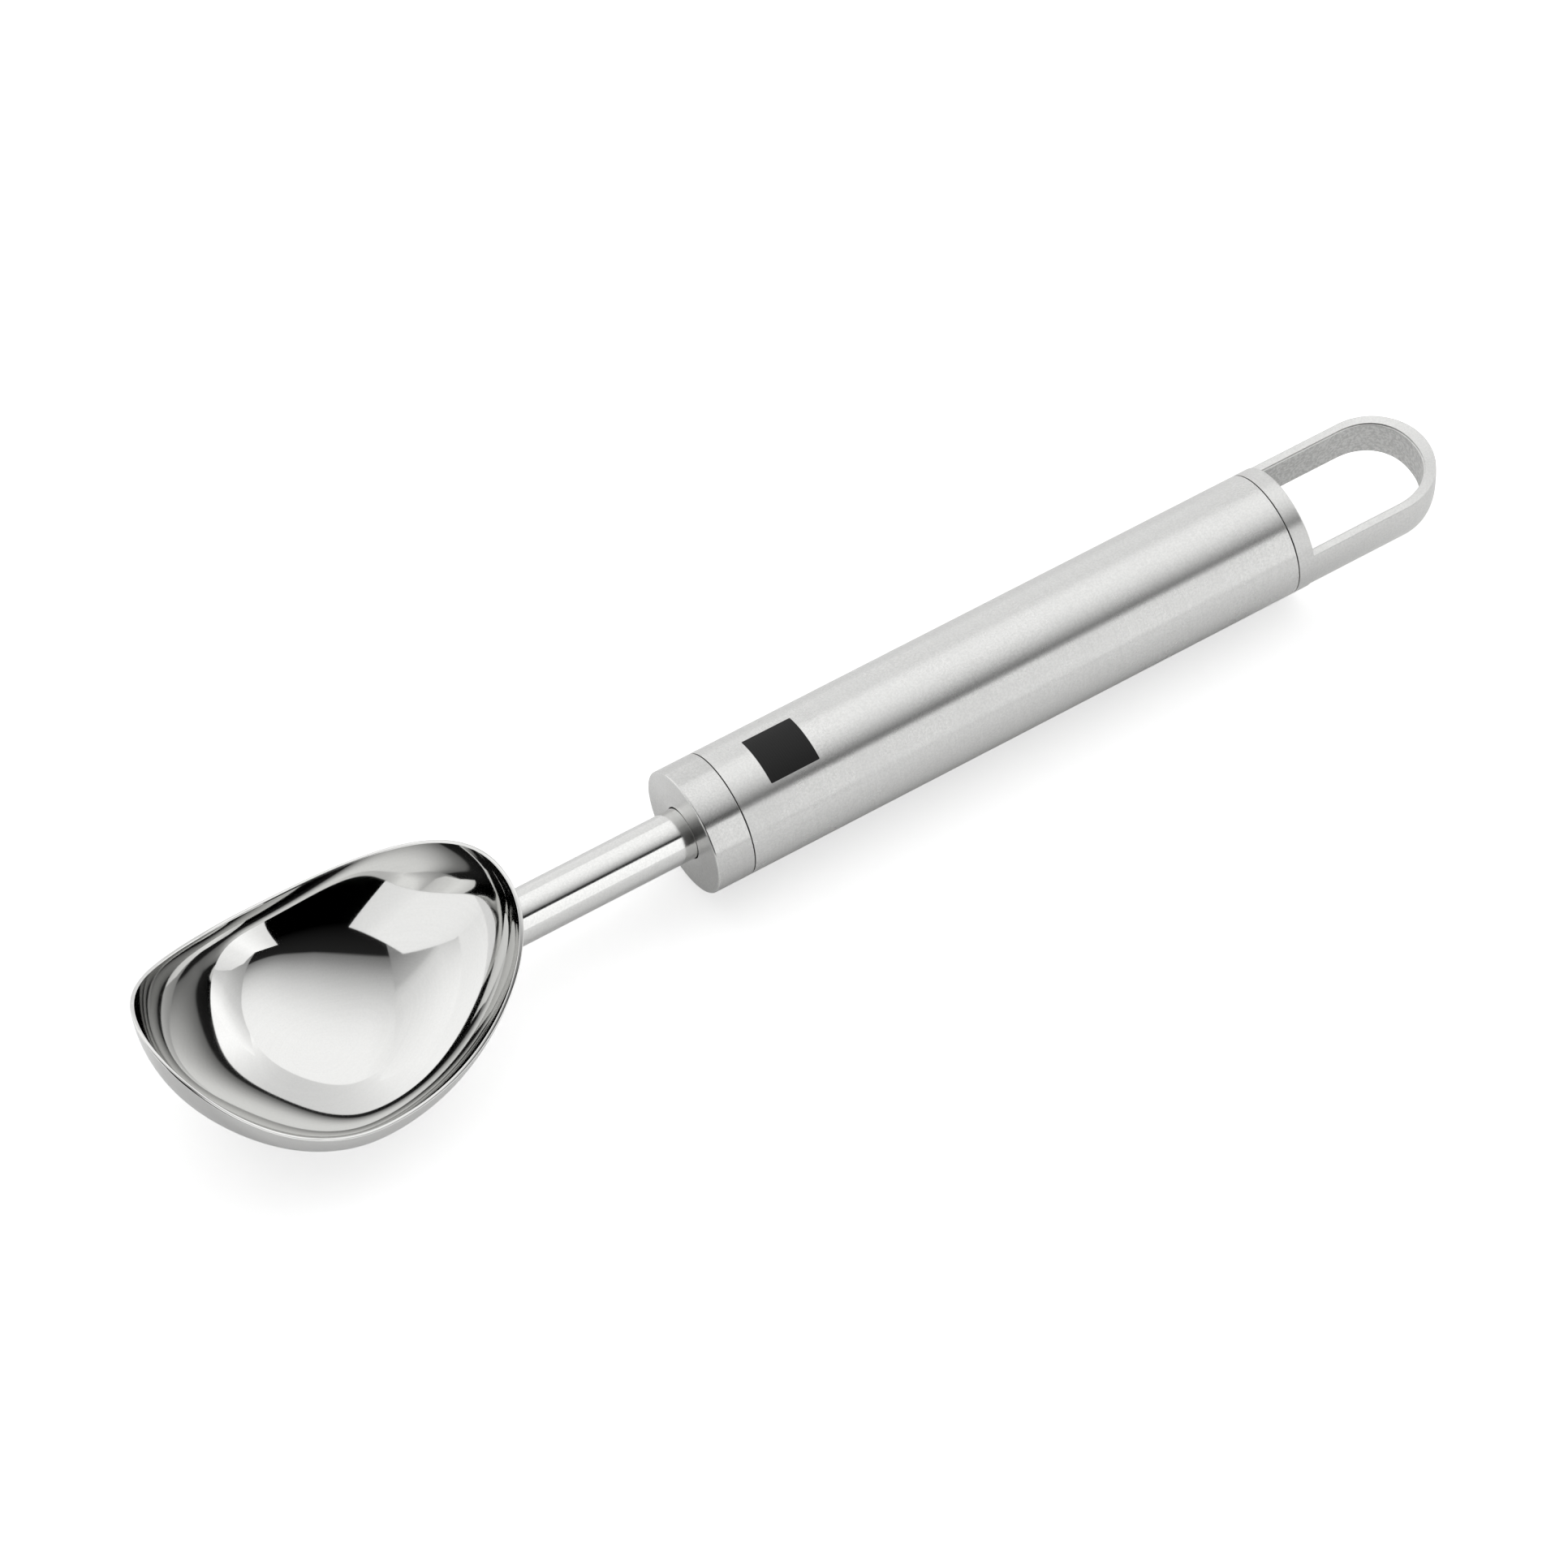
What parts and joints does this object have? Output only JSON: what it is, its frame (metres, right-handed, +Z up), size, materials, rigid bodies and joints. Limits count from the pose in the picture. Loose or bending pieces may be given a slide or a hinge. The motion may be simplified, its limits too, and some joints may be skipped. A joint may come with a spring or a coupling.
{
  "type": "ice cream scoop",
  "caption": "Ice cream scoop: polished egg-shaped bowl on a round neck, with a satin tubular handle that ends in a flat hanging loop.",
  "frame": {"origin": "middle of the bounding box, on the surface that the scoop lies on", "axes": "+X from the bowl towards the hanging loop, +Y across the bowl, +Z up out of the bowl's open side"},
  "size_m": [0.2238, 0.043, 0.0288],
  "materials": {
    "polished_steel": "mirror-polished stainless steel",
    "satin_steel": "satin stainless steel, brushed round the axis",
    "plain_steel": "as-machined stainless steel",
    "black_rubber": "matt black rubber"
  },
  "bodies": {
    "root": {"scoop_bowl": "polished_steel", "neck_rod": "polished_steel", "neck_o_ring": "black_rubber", "front_collar": "satin_steel", "front_o_ring": "black_rubber", "clamp_washer": "plain_steel", "clamp_nut": "plain_steel", "handle_tube": "satin_steel", "coupling_nut": "plain_steel", "tie_rod": "plain_steel", "lock_nut": "plain_steel", "rear_o_ring": "black_rubber", "end_cap": "satin_steel"}
  },
  "joints": []
}
